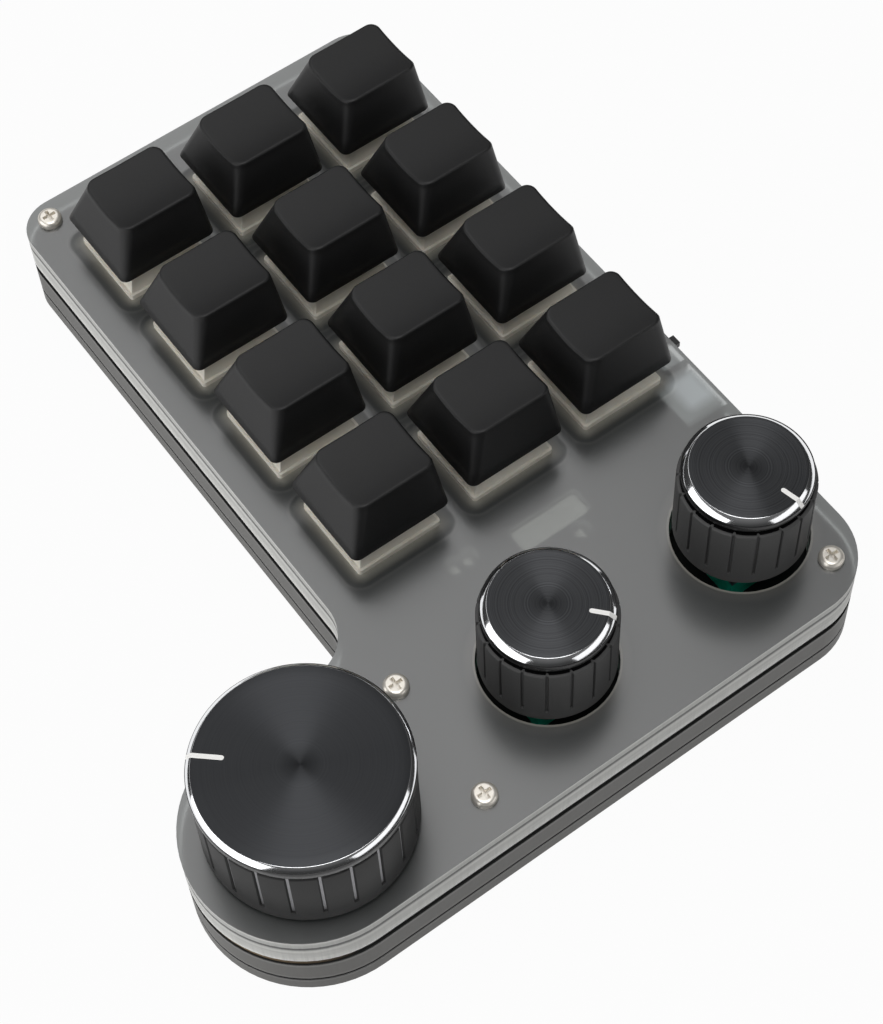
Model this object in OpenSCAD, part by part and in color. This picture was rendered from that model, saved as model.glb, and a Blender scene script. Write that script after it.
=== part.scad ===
// A one-handed macro keypad: twelve mechanical keys on an L-shaped board and three
// push-and-turn knobs down its right side.  The case is a stack of flat sheets.
// Millimetres, +Z up.  The origin is on the resting plane, under the middle of the
// overall width and depth.  X runs along the rows of keys and Y from the large knob to
// the back edge.

/* [Keys] */
// Distance between neighbouring switches, both ways
key_pitch = 22; // [20.8:0.2:25]
// Width of a keycap's skirt, both ways
cap_w = 18.1; // [17.2:0.1:19]
// Height of a keycap's corners above its skirt
cap_h = 8.8; // [8:0.1:10.4]
// Width of a keycap's top face, left to right
cap_top_w = 12.5; // [11:0.1:13.4]
// Depth of a keycap's top face, front to back
cap_top_d = 14.2; // [12.6:0.1:14.8]
// How far the top face sits behind the middle of the skirt
cap_top_shift = 1.5; // [0.4:0.1:1.8]
// Depth of the finger dish along the middle of the top
cap_dish = 0.8; // [0.4:0.1:1.2]
// Gap between the cover and the skirt of a keycap at rest
cap_gap = 6.6; // [6.2:0.1:7.2]
// How far a key goes down
key_travel = 4; // [3:0.1:4]

/* [Case] */
// Thickness of the frosted top cover
cover_t = 2.2; // [1.5:0.1:3]
// Thickness of the clear spacer under the cover
spacer_t = 4.6; // [4.2:0.1:6]
// Thickness of the circuit board
board_t = 1.6; // [1.2:0.2:2]
// Thickness of the grey middle frame
frame_t = 5.8; // [4.8:0.1:8]
// Thickness of the bottom plate
base_t = 3.2; // [2.4:0.1:4]
// Thickness of the rubber feet
feet_t = 1.5; // [1:0.1:3]
// From the left edge to the first column of switches
edge_left = 19; // [17.2:0.1:24]
// From the front edge of the key field to the first row of switches
edge_front = 15; // [14:0.1:20]
// From the last row of switches to the back edge
edge_back = 14.2; // [14:0.1:20]
// Width of the foot that carries the large knob
foot_w = 37.4; // [36.4:0.2:44]
// From the front edge of the key field to the large knob's axis
foot_reach = 21.9; // [20:0.2:40]
// From the large knob's axis to the foot's rounded front end
foot_nose = 19.8; // [18.8:0.2:26]

/* [Corners] */
// Radius of the two left corners
left_corner_r = 6.4; // [3:0.1:8]
// Radius of the back right corner
right_corner_r = 11.6; // [6:0.1:16]
// Radius of the inner corner between the key field and the foot
inner_corner_r = 8.5; // [4:0.5:10]

/* [Knobs] */
// From the last column of switches to the line of knobs
knob_line = 36.8; // [36:0.2:56]
// From the first row of switches to the middle knob's axis
middle_knob_y = 6.5; // [0:0.5:10]
// Diameter of the large knob's skirt
large_knob_d = 32.4; // [29:0.2:34]
// Diameter of the polished ring round the large knob's top
large_ring_d = 32.6; // [28:0.2:34]
// Height of the large knob
large_knob_h = 17.5; // [17:0.1:22]
// Diameter of the small knobs' skirts
small_knob_d = 21.3; // [20.7:0.1:24]
// Diameter of the polished rings round the small knobs' tops
small_ring_d = 20.1; // [18.5:0.2:22]
// Height of the two small knobs
small_knob_h = 16.5; // [16:0.1:20]
// Gap between the cover and the knobs' skirts
knob_gap = 0.9; // [0.8:0.1:1.6]
// How far a knob goes down when it is pushed
knob_push = 0.5; // [0.3:0.1:0.5]

/* [Connections] */
// From the third column of switches to the power switch, rightwards
power_x = 23.1; // [20.1:0.1:23.4]
// Gap between the last switch and the cable socket, side by side
socket_gap = 0.3; // [0.3:0.1:2]
// How far the power lever slides
lever_travel = 2; // [1:0.1:2]
// How far the power lever stands out of the back edge
lever_out = 3.2; // [1:0.1:4]

/* [Hidden] */
COLUMNS = 4;
ROWS = 3;
KEYS = [for (c = [1 : COLUMNS], r = [1 : ROWS]) [c, r]];
KNOBS = ["large", "middle", "rear"];

$fn = 64;
EPS = 0.01;      // keeps cutting tools clear of the faces they cut
HULL_FN = 32;    // facets of rounded shapes inside a hull

// Heights of the stack's faces above the resting plane
z_base = feet_t;
z_frame = z_base + base_t;
z_board = z_frame + frame_t;
z_spacer = z_board + board_t;
z_cover = z_spacer + spacer_t;
z_top = z_cover + cover_t;
lift = z_top - z_spacer;          // from the circuit board to the top of the cover

// Plan of the case
body_w = edge_left + (COLUMNS - 1) * key_pitch + knob_line + foot_w / 2;
field_d = edge_front + (ROWS - 1) * key_pitch + edge_back;
body_d = field_d + foot_reach + foot_nose;
x_left = -body_w / 2;
x_right = body_w / 2;
y_back = (body_d - lever_out) / 2;
y_field = y_back - field_d;       // front edge of the key field
first_x = x_left + edge_left;
first_y = y_field + edge_front;
knob_x = x_right - foot_w / 2;
foot_left = x_right - foot_w;
nose_y = y_field - foot_reach - foot_nose + foot_w / 2;
knob_ys = [y_field - foot_reach, first_y + middle_knob_y, first_y + (ROWS - 1) * key_pitch];

// Sheets
board_inset = 0.3;                // the circuit board sits just inside the outline
seam_h = 0.4;                     // shadow gap between the frame and the bottom plate
seam_d = 0.7;
frame_wall = 5.5;
boss_r = 6;

// Screws
screw_d = 1.96;
screw_hole_d = 2.2;
thread_hole_d = 2;
screw_head_d = 4.1;
screw_head_h = 1.3;
screw_tip = 1;                    // height of the screws' ends inside the bottom plate
recess_w = 0.55;                  // cross recess in the head
recess_l = 2.3;
recess_h = 0.8;
left_screw_inset = 3.9;           // from the left edge
foot_screw_inset = 8.8;           // from the foot's left edge
corner_screw_inset = 6.3;         // from the right edge
screw_points = [
    [x_left + left_screw_inset, y_field + 5.2],
    [x_left + left_screw_inset, y_back - 5.2],
    [x_right - corner_screw_inset, y_back - corner_screw_inset],
    [x_right - corner_screw_inset, y_field + 0.5],
    [foot_left + foot_screw_inset, y_field + 0.5]
];

// Rubber feet
pad_d = 8;
pad_points = [
    [x_left + 9, y_field + 9],
    [x_left + 9, y_back - 9],
    [x_right - 11, y_back - 11],
    [foot_left + 12, y_field + 8],
    [knob_x, knob_ys[0] - foot_nose + 9]
];

// Switches
cutout_w = 14.1;
body_sq = 13.9;                   // switch body below its flange
flange_w = 15.6;
flange_h = 1;
window_wall = 1.6;                // between neighbouring openings in the spacer
window_w = key_pitch - window_wall;  // opening in the spacer around a switch
window_r = 3;
switch_floor = 1.2;
switch_cavity = 11.9;
tube_d = 3;
tube_bore = 2.3;
peg_d = 3.9;
peg_l = 3.3;
pin_d = 1.3;
pin_l = 2.8;
pin_points = [[-3.81, 2.54], [2.54, 5.08]];
top_base_w = 14.6;                // upper housing where it meets the flange
top_roof_w = 11.4;
top_roof_d = 11;
top_h = 5.6;
top_wall = 0.9;
slot_w = 7.6;                     // opening in the roof for the stem
slot_d = 6.9;

// Stems, measured from the cover's top face
roof_z = flange_h + top_h;
slider_w = 6.8;
slider_d = 6;
slider_z = 1;
shoulder_w = 8.4;
shoulder_z = roof_z - top_wall - 0.5;
spring_well_d = 5.1;
spring_well_z = roof_z - 2.6;
tube_top = lift + spring_well_z - key_travel - 0.4;
pole_d = 1.6;
pole_z = tube_top - lift - 1.4;
cross_h = 3.6;
cross_w = 4;
cross_t = 1.2;
cross_gap = 0.03;

// Springs
spring_r = 2.15;
spring_wire = 0.4;
spring_turns = 6;
spring_arc = 140;                 // how much of a turn a level cut through the wire covers
spring_steps = 4;
spring_end_gap = 0.03;

// Keycaps
skirt_corner_r = 1.2;
top_corner_r = 1.5;
cap_wall = 1.3;
cap_roof = 1.4;
boss_d = 5.6;
boss_lift = 0.4;                  // the boss ends just above the skirt
sheet = 0.02;                     // thickness of the sheets that a hull joins

// Encoders, measured from the circuit board's top face
encoder_w = 12;
encoder_l = 12.5;
encoder_h = 6.6;
encoder_hole_r = 11;              // round opening in the cover and the spacer
bushing_d = 7;
bushing_top = 11.6;
shaft_d = 6;
shaft_fit = 0.05;                 // running clearance between shaft and bushing
shaft_top = 21.5;
flat_depth = 1.5;
flat_l = shaft_top - bushing_top - 0.4;
tail_w = 3.4;
rotor_d = 9.6;
rotor_h = 1.6;
rotor_gap = 0.3;
chamber_floor = 0.6;
chamber_top = 5.4;
tail_z = chamber_floor + knob_push + 0.15;
neck_z = chamber_top + knob_push;
encoder_pin_d = 1;
encoder_pin_l = 3;
encoder_pins = [[-2.5, -5.4], [0, -5.4], [2.5, -5.4], [-2.5, 5.4], [2.5, 5.4]];

// Knobs
knob_fit = 0.02;
hub_room_r = 4.9;                 // hollow around the bushing
collar_h = 2.2;                   // polished ring under the top face
ring_cut_in = [0.6, 0.9, 0.9];    // bright chamfer of each knob's ring: inwards
ring_cut_h = [0.95, 0.55, 0.55];  // and downwards
neck_h = 0.8;
neck_in = 1;
knob_lifts = [0, 0, 1.1];         // how much less far each knob is pushed onto its shaft
pointer_angles = [228, 42, 13];
flute_turns = [0.5, 0, 0.82];     // pointer to next flute, as a share of their spacing
pointer_w = 0.75;
pointer_depth = 0.25;
pointer_starts = [0.66, 0.6, 0.6];  // shares of the ring's radius
skirt_edge = 0.4;
flute_depth = 0.35;
flute_share = 0.05;               // flute width as a share of the skirt's radius
large_flutes = 22;
small_flutes = 18;
flute_rim = 2.6;                  // plain band below the flutes

// Power switch, cable socket, battery and chips
switch_w = 8.4;
switch_l = 3.4;
switch_h = 3.2;
switch_wall = 0.6;
switch_setback = 0.4;             // behind the case's back edge
lever_w = 1.8;
lever_h = 1.2;
lever_z = 1.5;
lever_gap = 0.35;
lever_heel_w = 2.4;
lever_heel_h = 2;
lever_heel_l = 0.8;
socket_w = 8.94;
socket_h = 3.26;
socket_l = 7.35;
socket_wall = 0.3;
notch_gap = 0.5;
power_xy = [first_x + 2 * key_pitch + power_x, y_back - switch_l - switch_setback];
socket_round = 1.2;
socket_back = 0.6;
tongue_size = [6.7, 4.6, 0.7];
last_x = first_x + (COLUMNS - 1) * key_pitch;
socket_x = last_x + (body_sq + socket_w) / 2 + socket_gap;
battery_size = [16, 44, 4];
battery_xy = [(last_x + knob_x) / 2, first_y + key_pitch];
plug_size = [4.1, 12.6, 3];       // white battery connector on the board
plug_offset = [16.8, 22.2];       // from the front switch of the last column
plug_xy = [last_x, first_y] + plug_offset;
chip_size = [7, 7, 1];            // controller, under the board
chip_xy = [knob_x, y_field + 4];
lamp_size = [2, 1.3, 0.8];
lamp_room_r = 1.7;
lamp_offsets = [[14.4, 5.6], [14.4, 8.2], [21, 25.3]];
lamp_points = [for (p = lamp_offsets) [last_x, first_y] + p];

// ---- Plan shapes ----

// Outline of the case, drawn inwards by inset
module outline(inset = 0) {
    left_r = max(left_corner_r - inset, 0.5);
    right_r = max(right_corner_r - inset, 0.5);
    l = x_left + inset;
    r = x_right - inset;
    f = y_field + inset;
    b = y_back - inset;
    translate([l, f + left_r])
        square([body_w - 2 * inset - right_r, field_d - 2 * inset - 2 * left_r]);
    translate([l + left_r, f])
        square([r - l - left_r - right_r, b - f]);
    translate([r - right_r - EPS, f])
        square([right_r + EPS, b - f - right_r]);
    for (y = [f + left_r, b - left_r])
        translate([l + left_r, y])
            circle(left_r);
    translate([r - right_r, b - right_r])
        circle(right_r);
    translate([foot_left + inset, nose_y])
        square([foot_w - 2 * inset, f - nose_y + EPS]);
    translate([knob_x, nose_y])
        circle(foot_w / 2 - inset, $fn = 128);
    inner_corner(inset);
}

// Rounds the inner corner between the key field and the foot
module inner_corner(inset) {
    r = inner_corner_r + inset;
    translate([foot_left - inner_corner_r, y_field - inner_corner_r])
        difference() {
            square([r, r]);
            circle(r);
        }
}

// Rounded rectangle about the origin
module rounded(w, d, r) {
    square([w, d - 2 * r], center = true);
    square([w - 2 * r, d], center = true);
    for (x = [-1, 1], y = [-1, 1])
        translate([x * (w / 2 - r), y * (d / 2 - r)])
            circle(r);
}

function key_xy(key) = [first_x + (key[0] - 1) * key_pitch, first_y + (key[1] - 1) * key_pitch];

module at_keys()
    for (k = KEYS)
        translate(key_xy(k))
            children();

module at_knobs()
    for (y = knob_ys)
        translate([knob_x, y])
            children();

module screw_holes(d)
    for (p = screw_points)
        translate(p)
            circle(d = d);

// ---- Case ----

module top_cover()
    color("gray", 0.8)
        translate([0, 0, z_cover])
            linear_extrude(cover_t)
                difference() {
                    outline();
                    at_keys() square(cutout_w, center = true);
                    at_knobs() circle(encoder_hole_r);
                    screw_holes(screw_hole_d);
                }

module clear_spacer()
    color("gainsboro", 0.7)
        translate([0, 0, z_spacer])
            linear_extrude(spacer_t)
                difference() {
                    outline();
                    at_keys() rounded(window_w, window_w, window_r);
                    at_knobs() circle(encoder_hole_r);
                    screw_holes(screw_hole_d);
                    edge_notch(power_xy[0], switch_w, y_back - power_xy[1]);
                    edge_notch(socket_x, socket_w, socket_l);
                    translate(plug_xy)
                        rounded(plug_size[0] + 2 * notch_gap, plug_size[1] + 2 * notch_gap, 1);
                    for (p = lamp_points)
                        translate(p)
                            circle(lamp_room_r);
                }

// Notch in the back edge for a part that is w wide and reaches l inwards
module edge_notch(x, w, l)
    translate([x - w / 2 - notch_gap, y_back - l - notch_gap])
        square([w + 2 * notch_gap, l + 2 * notch_gap]);

module circuit_board()
    color("darkslategray")
        translate([0, 0, z_board])
            linear_extrude(board_t)
                difference() {
                    outline(board_inset);
                    screw_holes(screw_hole_d);
                    at_keys() {
                        circle(d = peg_d + 0.2);
                        for (p = pin_points)
                            translate(p)
                                circle(d = pin_d + 0.2);
                    }
                    at_knobs()
                        for (p = encoder_pins)
                            translate(p)
                                circle(d = encoder_pin_d + 0.2);
                }

module middle_frame()
    color("dimgray")
        translate([0, 0, z_frame])
            difference() {
                union() {
                    linear_extrude(seam_h)
                        outline(seam_d);
                    translate([0, 0, seam_h])
                        linear_extrude(frame_t - seam_h)
                            outline();
                }
                translate([0, 0, -EPS])
                    linear_extrude(frame_t + 2 * EPS) {
                        difference() {
                            outline(frame_wall);
                            screw_holes(2 * boss_r);
                        }
                        screw_holes(screw_hole_d);
                    }
            }

module bottom_plate()
    color("dimgray")
        translate([0, 0, z_base])
            linear_extrude(base_t)
                difference() {
                    outline();
                    screw_holes(thread_hole_d);
                }

module rubber_feet()
    color("black")
        for (p = pad_points)
            translate(p)
                cylinder(h = feet_t, d = pad_d);

module case_screws()
    color("silver")
        for (p = screw_points)
            translate(p)
                screw();

// Pan-head screw that reaches from the cover into the bottom plate
module screw() {
    translate([0, 0, z_base + screw_tip])
        cylinder(h = z_top - z_base - screw_tip + EPS, d = screw_d);
    translate([0, 0, z_top])
        difference() {
            rotate_extrude()
                pan_profile();
            for (a = [0, 90])
                rotate(a)
                    translate([-recess_l / 2, -recess_w / 2, screw_head_h - recess_h])
                        cube([recess_l, recess_w, recess_h + EPS]);
        }
}

// Half section of a pan head: straight side, rounded shoulder, flat top
module pan_profile() {
    shoulder = screw_head_h * 0.6;
    square([screw_head_d / 2 - shoulder, screw_head_h]);
    square([screw_head_d / 2, screw_head_h - shoulder]);
    translate([screw_head_d / 2 - shoulder, screw_head_h - shoulder])
        intersection() {
            circle(shoulder);
            square(shoulder);
        }
}

// ---- Switches ----

module switch_bases()
    color("ivory")
        at_keys()
            translate([0, 0, z_spacer])
                switch_base();

// Lower housing: body, flange on the cover, guide tube and locating peg
module switch_base()
    difference() {
        union() {
            difference() {
                union() {
                    linear_extrude(lift + EPS)
                        square(body_sq, center = true);
                    translate([0, 0, lift])
                        linear_extrude(flange_h)
                            rounded(flange_w, flange_w, 0.6);
                }
                translate([0, 0, switch_floor])
                    linear_extrude(lift + flange_h)
                        square(switch_cavity, center = true);
            }
            cylinder(h = tube_top, d = tube_d);
            translate([0, 0, -peg_l])
                cylinder(h = peg_l + EPS, d = peg_d);
        }
        translate([0, 0, 1 - peg_l])
            cylinder(h = peg_l + tube_top, d = tube_bore);
    }

module switch_tops()
    color("whitesmoke")
        at_keys()
            translate([0, 0, z_top + flange_h])
                switch_top();

// Upper housing: a tapered cover with an opening for the stem
module switch_top()
    difference() {
        tapered(top_base_w, top_base_w, top_roof_w, top_roof_d, top_h);
        translate([0, 0, -EPS])
            tapered(top_base_w - 2 * top_wall, top_base_w - 2 * top_wall,
                    top_roof_w - 2 * top_wall, top_roof_d - 2 * top_wall, top_h - top_wall);
        linear_extrude(top_h + EPS)
            square([slot_w, slot_d], center = true);
    }

// Block that tapers from w by d at the bottom to roof_w by roof_d at height h
module tapered(w, d, roof_w, roof_d, h)
    intersection() {
        translate([0, w, 0])
            rotate([90, 0, 0])
                linear_extrude(2 * w)
                    trapezium(w, roof_w, h);
        translate([-w, 0, 0])
            rotate([90, 0, 90])
                linear_extrude(2 * w)
                    trapezium(d, roof_d, h);
    }

module trapezium(foot, roof, h)
    polygon([[-foot / 2, 0], [foot / 2, 0], [roof / 2, h], [-roof / 2, h]]);

// Stem: slider with retaining shoulders, spring well, guide pole and cross
module key_stem(key)
    color("saddlebrown")
        translate(key_xy(key))
            translate([0, 0, z_top]) {
                difference() {
                    union() {
                        translate([0, 0, slider_z])
                            linear_extrude(roof_z - slider_z)
                                square([slider_w, slider_d], center = true);
                        translate([0, 0, slider_z])
                            linear_extrude(shoulder_z - slider_z)
                                square([shoulder_w, slider_d / 2], center = true);
                    }
                    translate([0, 0, slider_z - EPS])
                        cylinder(h = spring_well_z - slider_z + EPS, d = spring_well_d);
                }
                translate([0, 0, pole_z])
                    cylinder(h = spring_well_z - pole_z + EPS, d = pole_d);
                translate([0, 0, roof_z - EPS])
                    linear_extrude(cross_h + EPS)
                        stem_cross(0);
            }

module stem_cross(gap) {
    square([cross_w + 2 * gap, cross_t + 2 * gap], center = true);
    square([cross_t + 2 * gap, cross_w + 2 * gap], center = true);
}

// Coil spring between the switch's floor and the stem's well
module key_spring(key) {
    foot_z = z_spacer + switch_floor + spring_end_gap;
    length = z_top + spring_well_z - spring_end_gap - foot_z;
    color("goldenrod")
        translate(key_xy(key))
            translate([0, 0, foot_z])
                linear_extrude(length, twist = -360 * spring_turns, slices = 9 * spring_turns, segments = 0)
                    spring_section();
}

// Level cut through the coil's wire: part of a ring
module spring_section() {
    inner = spring_r - spring_wire;
    angles = [for (i = [0 : spring_steps]) spring_arc * i / spring_steps];
    polygon(concat(
        [for (a = angles) spring_r * [cos(a), sin(a)]],
        [for (i = [spring_steps : -1 : 0]) inner * [cos(angles[i]), sin(angles[i])]]
    ));
}

// Keycap: hollow tapered shell with a dished top and a boss for the stem's cross
module keycap(key) {
    room_h = cap_h - cap_dish - cap_roof;
    slot_h = roof_z + cross_h - cap_gap - boss_lift + 0.1;
    color("black")
        translate(key_xy(key))
            translate([0, 0, z_top + cap_gap]) {
                difference() {
                    cap_solid(cap_h, 0, skirt_corner_r, top_corner_r);
                    cap_dish_tool();
                    translate([0, 0, -EPS])
                        cap_solid(room_h, cap_wall, skirt_corner_r / 2, top_corner_r / 2);
                }
                difference() {
                    translate([0, 0, boss_lift])
                        cylinder(h = room_h - boss_lift + EPS, d = boss_d);
                    translate([0, 0, boss_lift - EPS])
                        linear_extrude(slot_h)
                            stem_cross(cross_gap);
                }
            }
}

// The cap's taper up to height h, drawn inwards by wall
module cap_solid(h, wall, foot_r, top_r) {
    k = h / cap_h;
    w = cap_w + (cap_top_w - cap_w) * k - 2 * wall;
    d = cap_w + (cap_top_d - cap_w) * k - 2 * wall;
    hull() {
        linear_extrude(sheet)
            rounded(cap_w - 2 * wall, cap_w - 2 * wall, foot_r, $fn = HULL_FN);
        translate([0, cap_top_shift * k, h - sheet])
            linear_extrude(sheet)
                rounded(w, d, top_r, $fn = HULL_FN);
    }
}

// Cylinder along Y that leaves the dish and keeps the corners' height
module cap_dish_tool() {
    r = (pow(cap_top_w / 2, 2) + pow(cap_dish, 2)) / (2 * cap_dish);
    translate([0, cap_w, cap_h + r - cap_dish])
        rotate([90, 0, 0])
            cylinder(h = 2 * cap_w, r = r, $fn = 180);
}

// ---- Encoders and knobs ----

module encoder_bodies()
    color("silver")
        at_knobs()
            translate([0, 0, z_spacer])
                encoder_body();

// Metal box with a bushing for the shaft, a chamber for the rotor and solder pins
module encoder_body() {
    difference() {
        union() {
            linear_extrude(encoder_h)
                square([encoder_w, encoder_l], center = true);
            cylinder(h = bushing_top, d = bushing_d);
        }
        translate([0, 0, chamber_floor])
            cylinder(h = chamber_top - chamber_floor, r = rotor_d / 2 + 2 * rotor_gap);
        translate([0, 0, chamber_top - EPS])
            cylinder(h = bushing_top, r = shaft_d / 2 + shaft_fit);
    }
    for (p = encoder_pins)
        translate([p[0], p[1], -encoder_pin_l])
            cylinder(h = encoder_pin_l + chamber_floor / 2, d = encoder_pin_d);
}

// Contact disc that the shaft turns; the shaft slides down through it
module encoder_rotor(i)
    color("darkgray")
        translate([knob_x, knob_ys[i], z_spacer + chamber_top - rotor_gap - rotor_h])
            linear_extrude(rotor_h)
                difference() {
                    circle(d = rotor_d);
                    square(tail_w + 2 * rotor_gap, center = true);
                }

// Shaft: square tail through the rotor, round neck in the bushing, flat for the knob
module encoder_shaft(i)
    color("lightgray")
        translate([knob_x, knob_ys[i], z_spacer]) {
            translate([0, 0, tail_z])
                linear_extrude(neck_z - tail_z + EPS)
                    square(tail_w, center = true);
            translate([0, 0, neck_z])
                difference() {
                    cylinder(h = shaft_top - neck_z, d = shaft_d);
                    translate([shaft_d / 2 - flat_depth, -shaft_d, shaft_top - neck_z - flat_l])
                        cube([shaft_d, 2 * shaft_d, flat_l + EPS]);
                }
        }

module knob_large()
    knob(0, large_knob_d / 2, large_ring_d / 2, large_knob_h, large_flutes);

module knob_middle()
    knob(1, small_knob_d / 2, small_ring_d / 2, small_knob_h, small_flutes);

module knob_rear()
    knob(2, small_knob_d / 2, small_ring_d / 2, small_knob_h, small_flutes);

// Turned knob with a fluted skirt of radius r, a ring of radius ring_r round its top,
// height h, and a pointer
module knob(i, r, ring_r, h, flutes) {
    z = z_top + knob_gap + knob_lifts[i];
    bore_top = z_spacer + shaft_top + 0.3 - z;
    room_top = z_spacer + bushing_top + knob_push + 0.4 - z;
    flute_h = h - collar_h - neck_h - flute_rim;
    flute_w = r * flute_share;
    color("black")
        translate([knob_x, knob_ys[i], z])
            difference() {
                rotate_extrude($fn = 128)
                    knob_profile(i, r, ring_r, h);
                translate([0, 0, -EPS])
                    cylinder(h = room_top + EPS, r = hub_room_r);
                linear_extrude(bore_top)
                    shaft_section(knob_fit);
                for (n = [0 : flutes - 1])
                    rotate(pointer_angles[i] + 360 * (n + flute_turns[i]) / flutes)
                        translate([r - flute_depth, -flute_w / 2, flute_rim])
                            cube([1, flute_w, flute_h + EPS]);
                rotate(pointer_angles[i])
                    translate([pointer_starts[i] * ring_r, -pointer_w / 2, h - pointer_depth])
                        cube([ring_r, pointer_w, 1]);
            }
}

// Section of the shaft's flatted end, grown by gap
module shaft_section(gap)
    difference() {
        circle(shaft_d / 2 + gap);
        translate([shaft_d / 2 - flat_depth + gap, -shaft_d])
            square([shaft_d, 2 * shaft_d]);
    }

// Half section of a knob: skirt, neck, polished ring with a chamfer, flat top
module knob_profile(i, r, ring_r, h) {
    ring_z = h - collar_h;
    skirt_z = ring_z - neck_h;
    neck_r = ring_r - neck_in;
    polygon([
        [0, 0],
        [r - skirt_edge, 0],
        [r, skirt_edge],
        [r, skirt_z - skirt_edge],
        [r - skirt_edge, skirt_z],
        [neck_r, skirt_z],
        [neck_r, ring_z],
        [ring_r, ring_z],
        [ring_r, h - ring_cut_h[i]],
        [ring_r - ring_cut_in[i], h],
        [0, h]
    ]);
}

// ---- Board ----

module board_components()
    color("whitesmoke") {
        translate([plug_xy[0], plug_xy[1], z_spacer])
            linear_extrude(plug_size[2])
                rounded(plug_size[0], plug_size[1], 0.8);
        translate([chip_xy[0], chip_xy[1], z_board - chip_size[2]])
            block(chip_size);
        for (p = lamp_points)
            translate([p[0], p[1], z_spacer])
                block(lamp_size);
        at_keys()
            for (p = pin_points)
                translate([p[0], p[1], z_spacer - pin_l])
                    cylinder(h = pin_l, d = pin_d);
    }

// Box that stands on the plane, centred on the Z axis
module block(size)
    translate([-size[0] / 2, -size[1] / 2, 0])
        cube(size);

module battery()
    color("silver")
        translate([battery_xy[0], battery_xy[1], z_frame])
            block(battery_size);

// Steel shell with a tongue inside; its mouth is flush with the case's back edge
module cable_socket()
    color("silver")
        translate([socket_x, y_back, z_spacer + socket_h / 2])
            rotate([90, 0, 0]) {
                difference() {
                    linear_extrude(socket_l)
                        rounded(socket_w, socket_h, socket_round);
                    translate([0, 0, -EPS])
                        linear_extrude(socket_l - socket_back)
                            rounded(socket_w - 2 * socket_wall, socket_h - 2 * socket_wall,
                                    socket_round - socket_wall);
                }
                translate([0, 0, socket_l - socket_back - tongue_size[1]])
                    linear_extrude(tongue_size[1] + EPS)
                        square([tongue_size[0], tongue_size[2]], center = true);
            }

// Housing with a slot in its back face for the lever
module power_switch()
    color("silver")
        translate([power_xy[0], power_xy[1], z_spacer])
            difference() {
                translate([-switch_w / 2, 0, 0])
                    cube([switch_w, switch_l, switch_h]);
                lever_room(lever_heel_w, lever_heel_h, switch_wall, lever_heel_l + 2 * lever_gap);
                lever_room(lever_w, lever_h, switch_wall + lever_heel_l, switch_l);
            }

// Space that a w by h section of the lever sweeps, from depth y over length l
module lever_room(w, h, y, l)
    translate([-(w + lever_travel) / 2 - lever_gap, y, lever_z - h / 2 - lever_gap])
        cube([w + lever_travel + 2 * lever_gap, l, h + 2 * lever_gap]);

// Lever at the left end of its travel: heel inside the housing and thumb nub outside
module power_lever() {
    start_y = power_xy[1] + switch_wall + lever_gap;
    color("black")
        translate([power_xy[0] - lever_travel / 2, start_y, z_spacer + lever_z]) {
            translate([-lever_heel_w / 2, 0, -lever_heel_h / 2])
                cube([lever_heel_w, lever_heel_l, lever_heel_h]);
            translate([-lever_w / 2, 0, -lever_h / 2])
                cube([lever_w, y_back + lever_out - start_y, lever_h]);
        }
}

top_cover();
clear_spacer();
circuit_board();
middle_frame();
bottom_plate();
rubber_feet();
case_screws();
switch_bases();
switch_tops();
encoder_bodies();
board_components();
battery();
cable_socket();
power_switch();
power_lever();
knob_large();
knob_middle();
knob_rear();
for (i = [0 : len(KNOBS) - 1]) {
    encoder_rotor(i);
    encoder_shaft(i);
}
for (k = KEYS) {
    keycap(k);
    key_stem(k);
    key_spring(k);
}
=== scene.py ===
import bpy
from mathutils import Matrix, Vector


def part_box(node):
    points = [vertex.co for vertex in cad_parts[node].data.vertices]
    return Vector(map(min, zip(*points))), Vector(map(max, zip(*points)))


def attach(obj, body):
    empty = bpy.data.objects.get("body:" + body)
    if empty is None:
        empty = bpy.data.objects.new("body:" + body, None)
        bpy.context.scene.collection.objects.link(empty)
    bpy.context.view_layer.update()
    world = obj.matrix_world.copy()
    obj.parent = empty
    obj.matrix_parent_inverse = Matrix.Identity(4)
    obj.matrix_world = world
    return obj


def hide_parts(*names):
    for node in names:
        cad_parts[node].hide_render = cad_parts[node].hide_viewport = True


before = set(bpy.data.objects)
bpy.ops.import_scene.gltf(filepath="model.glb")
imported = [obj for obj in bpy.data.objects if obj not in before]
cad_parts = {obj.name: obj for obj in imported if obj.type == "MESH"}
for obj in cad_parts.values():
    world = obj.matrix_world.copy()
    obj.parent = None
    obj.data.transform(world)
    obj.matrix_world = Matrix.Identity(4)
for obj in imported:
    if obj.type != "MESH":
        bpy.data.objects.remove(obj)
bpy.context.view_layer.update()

import math
from collections import namedtuple

import bmesh
import bpy
from mathutils import Matrix, Vector

MM = 0.001

# ---------------------------------------------------------------- sizes, millimetres
# These are the parts' own sizes, so that a dressed piece lands on the solid it stands for.


def span(node):
    """Lowest and highest corner of a part, in millimetres."""
    low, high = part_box(node)
    return low / MM, high / MM


def underside(node):
    """Middle of a part's underside, in millimetres."""
    low, high = span(node)
    return Vector(((low.x + high.x) / 2, (low.y + high.y) / 2, low.z))


COLUMNS, ROWS = 4, 3
KEYS = [(c, r) for c in range(1, COLUMNS + 1) for r in range(1, ROWS + 1)]
KNOBS = ["large", "middle", "rear"]

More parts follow.
